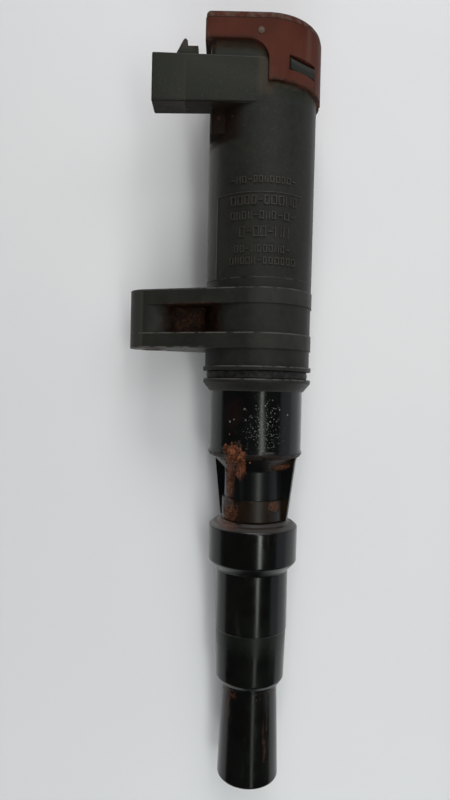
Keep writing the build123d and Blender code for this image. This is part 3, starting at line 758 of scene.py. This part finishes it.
def add_blank(bm, kind, x, width, z, height):
    """One plain placeholder: an empty box, a pair of posts or a dash."""
    left, right = math.asin(x / BARREL_R), math.asin((x + width) / BARREL_R)
    line = LABEL_LINE / BARREL_R
    low, high = z - height / 2, z + height / 2
    if kind == "dash":
        add_bar(bm, left, right, z - LABEL_LINE / 2, z + LABEL_LINE / 2, LABEL_RAISE)
        return
    add_bar(bm, left, left + line, low, high, LABEL_RAISE)
    add_bar(bm, right - line, right, low, high, LABEL_RAISE)
    if kind == "box":
        inner_left, inner_right = left + line / 2, right - line / 2
        add_bar(bm, inner_left, inner_right, low, low + LABEL_LINE, LABEL_RAISE)
        add_bar(bm, inner_left, inner_right, high - LABEL_LINE, high, LABEL_RAISE)


def add_label(material):
    """Plain boxes, posts and dashes, and a thin frame, in place of the moulded marking."""
    bm = bmesh.new()
    rng = random.Random(LABEL_SEED)
    for z, height, x_left, x_right in LABEL_ROWS:
        x = x_left
        while x < x_right - LABEL_END_ROOM:
            width = rng.uniform(*LABEL_WIDTHS) * height
            kind = rng.choice(LABEL_KINDS)
            add_blank(bm, kind, x, min(width, x_right - x), z, height)
            x += width + rng.uniform(*LABEL_GAPS)
    add_bar(bm, FRAME_LEFT, FRAME_RIGHT, FRAME_TOP - FRAME_LINE, FRAME_TOP, FRAME_RAISE)
    add_bar(bm, FRAME_LEFT, FRAME_LEFT + FRAME_SIDE, FRAME_BOTTOM, FRAME_TOP, FRAME_RAISE)
    bmesh.ops.recalc_face_normals(bm, faces=bm.faces)
    new_piece("label_bars", bm, material, "coil", smooth=False)


# ------------------------------------------------------------------ the gate mark on the cap
GATE_X, GATE_Z = -1.7, 84.6
GATE_SIDES = 28
GATE_MERGE = 1e-6                           # metres
# radius, height above the cap's flat side
GATE_PROFILE = ((0.0, 0.10), (0.45, 0.10), (0.60, 0.03), (0.78, 0.14), (0.95, 0.06), (1.0, -0.1))


def add_gate_mark(material):
    """The round mark that the moulding tool left on the cap's flat side."""
    low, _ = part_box("cap")
    centre = Vector((GATE_X * MM, low[1], GATE_Z * MM))
    bm = bmesh.new()
    rings = []
    for radius, lift in GATE_PROFILE:
        ring = []
        for i in range(GATE_SIDES):
            a = math.tau * i / GATE_SIDES
            out = Vector((math.cos(a) * radius, -lift, math.sin(a) * radius))
            ring.append(bm.verts.new(centre + out * MM))
        rings.append(ring)
    skin(bm, rings)
    bmesh.ops.remove_doubles(bm, verts=bm.verts, dist=GATE_MERGE)
    bmesh.ops.recalc_face_normals(bm, faces=bm.faces)
    new_piece("cap_gate_mark", bm, material, "coil")


# ------------------------------------------------------------------ grains of rust and splashes
NECK_R = 13.55
# outside of the tower, from the hub up the cone and over the ledge to the neck: height, radius
TOWER_PROFILE = (
    (-49.0, 9.35), (-42.9, 9.35), (-42.8, 8.7), (-34.4, 8.8), (-30.7, 12.2), (-30.4, 13.2),
    (-29.6, 13.8), (-28.6, 13.6), (0.0, NECK_R),
)
FARTHEST_ACROSS = 0.95                      # share of the radius
LIP_ANGLE, LIP_SPREAD = -40, 11             # degrees
LIP_INNER_R, LIP_OUTER_R = 9.2, 10.4
LIP_Z = -49.35
LIP_FALL = 0.55                             # drop per millimetre outwards
GRAIN_STRETCH = (0.7, 1.3)
GRAIN_SHRINK = (0.6, 1.0)
GRAIN_RIPPLE = 0.22
GRAIN_ROUGHNESS = 0.08
GRIME_SEED = 29


def tower_radius(z):
    for (z_low, r_low), (z_high, r_high) in zip(TOWER_PROFILE, TOWER_PROFILE[1:]):
        if z <= z_high:
            share = max(0.0, (z - z_low) / (z_high - z_low))
            return r_low + (r_high - r_low) * share
    return NECK_R


def neck_radius(_):
    return NECK_R


def on_tower(x, z, spread_x, spread_z, radius_at):
    """Picks places in a soft cloud round x and z, on the side that faces -Y."""
    def pick(rng):
        height = z + rng.gauss(0, spread_z / 2)
        radius = radius_at(height)
        across = (x + rng.gauss(0, spread_x / 2)) / radius
        angle = math.asin(max(-FARTHEST_ACROSS, min(FARTHEST_ACROSS, across)))
        return on_barrel(angle, height, radius), on_barrel(angle, 0, 1).normalized()
    return pick


def on_lip(rng):
    """Picks a place on the boot's upper lip, at its near left."""
    angle = math.radians(rng.gauss(LIP_ANGLE, LIP_SPREAD))
    radius = rng.uniform(LIP_INNER_R, LIP_OUTER_R)
    height = LIP_Z - LIP_FALL * (radius - LIP_INNER_R)
    return on_barrel(angle, height, radius), Vector((0, 0, 1))


def add_grain(bm, rng, place, outward, size, flat, long):
    """One irregular grain, pressed flat against the surface and drawn out up and down."""
    made = bmesh.ops.create_icosphere(bm, subdivisions=2, radius=1.0)
    turn = outward.to_track_quat("Z", "Y").to_matrix()
    stretch = (rng.uniform(*GRAIN_STRETCH), rng.uniform(*GRAIN_STRETCH) * long, flat)
    phase = rng.uniform(0, math.tau)
    for v in made["verts"]:
        wave = GRAIN_RIPPLE * math.sin(5 * v.co.x + phase) * math.cos(4 * v.co.y - phase)
        ripple = 1 + wave + rng.uniform(-GRAIN_ROUGHNESS, GRAIN_ROUGHNESS)
        shaped = Vector([c * s for c, s in zip(v.co, stretch)]) * ripple
        v.co = place + turn @ shaped * size * MM


def add_grains(rng, name, where, sizes, flat, material, count, long, body, slot):
    """Grains scattered by where(rng), which gives a place and the outward direction."""
    bm = bmesh.new()
    for _ in range(count):
        place, outward = where(rng)
        size = rng.uniform(*sizes) * rng.uniform(*GRAIN_SHRINK)
        add_grain(bm, rng, place, outward, size, flat, long)
    new_piece(name, bm, material, body)


def add_grime(rust, splash):
    """Rust crusts and dried splashes. They share their random draws, so their order matters."""
    rng = random.Random(GRIME_SEED)
    neck = on_tower(-6.4, -29.6, 3.0, 3.0, tower_radius)
    cone = on_tower(-4.6, -33.6, 1.7, 3.4, tower_radius)
    hub = on_tower(-6.8, -47.2, 1.8, 1.6, tower_radius)
    splashes = on_tower(1.6, -23.0, 5.0, 6.5, neck_radius)
    drops = on_tower(-0.5, -19.5, 13.0, 4.0, neck_radius)
    # name, where, smallest and largest radius, flatness, material, count, length, body, slot
    rows = (
        ("neck_rust_crust", neck, (0.18, 0.55), 0.35, rust, 150, 1.5, "coil", "tower_plastic"),
        ("cone_rust_crust", cone, (0.12, 0.36), 0.35, rust, 90, 2.4, "coil", "tower_plastic"),
        ("hub_rust_crust", hub, (0.2, 0.5), 0.35, rust, 30, 1.0, "coil", "tower_plastic"),
        ("neck_splashes", splashes, (0.04, 0.13), 0.30, splash, 210, 1.0, "coil", "tower_plastic"),
        ("neck_drops", drops, (0.22, 0.42), 0.22, splash, 8, 1.0, "coil", "tower_plastic"),
        ("boot_lip_rust", on_lip, (0.15, 0.5), 0.35, rust, 80, 1.0, "boot", "boot_rubber"),
    )
    for row in rows:
        add_grains(rng, *row)


# ------------------------------------------------------------------ the contact's spring
SPRING_WIRE_R = 0.35 * MM
SPRING_R = 2.95 * MM
SPRING_TURNS = 10
SPRING_PER_TURN = 32
SPRING_SIDES = 8


def add_contact_spring(material):
    """The contact's spring again, as a coil of wire that takes the CAD node's place and hides it.
    """
    low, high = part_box("contact_spring")
    z_low, z_high = low[2] + SPRING_WIRE_R, high[2] - SPRING_WIRE_R
    bm = bmesh.new()
    count = SPRING_TURNS * SPRING_PER_TURN
    rings = []
    for i in range(count + 1):
        angle = math.tau * i / SPRING_PER_TURN
        out = Vector((math.cos(angle), math.sin(angle), 0))
        centre = out * SPRING_R + Vector((0, 0, z_low + (z_high - z_low) * i / count))
        ring = []
        for j in range(SPRING_SIDES):
            a = math.tau * j / SPRING_SIDES
            rim = out * math.cos(a) + Vector((0, 0, math.sin(a)))
            ring.append(bm.verts.new(centre + rim * SPRING_WIRE_R))
        rings.append(ring)
    skin(bm, rings)
    close_ends(bm, rings)
    bmesh.ops.recalc_face_normals(bm, faces=bm.faces)
    piece = mesh_object("contact_spring_coils", bm, material)
    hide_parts("contact_spring")
    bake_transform(piece)


# ------------------------------------------------------------------ build the scene
SPRING_DARK, SPRING_LIGHT = (0.35, 0.35, 0.36), (0.5, 0.5, 0.5)
# the letters' colour is lighter than the housing's: a painted highlight in place of their lit
# edges
LETTER_HIGHLIGHT_DARK, LETTER_HIGHLIGHT_LIGHT = (0.026, 0.024, 0.020), (0.046, 0.039, 0.031)
GATE_DARK, GATE_LIGHT = (0.10, 0.07, 0.058), (0.16, 0.125, 0.105)

add_camera()
add_world()
add_paper()
add_lights()
bpy.context.scene.view_settings.view_transform = "Standard"
spring_wire = metal_material("spring_wire", SPRING_DARK, SPRING_LIGHT, 0.25)
paint_all(spring_wire)
# painted highlight on the letters
add_label(plain_material("letters_painted_highlight", LETTER_HIGHLIGHT_DARK, LETTER_HIGHLIGHT_LIGHT, 0.55, 900))
add_gate_mark(metal_material("gate_mark_film", GATE_DARK, GATE_LIGHT, 0.5))
add_grime(rust_material(), splash_material())
add_contact_spring(spring_wire)
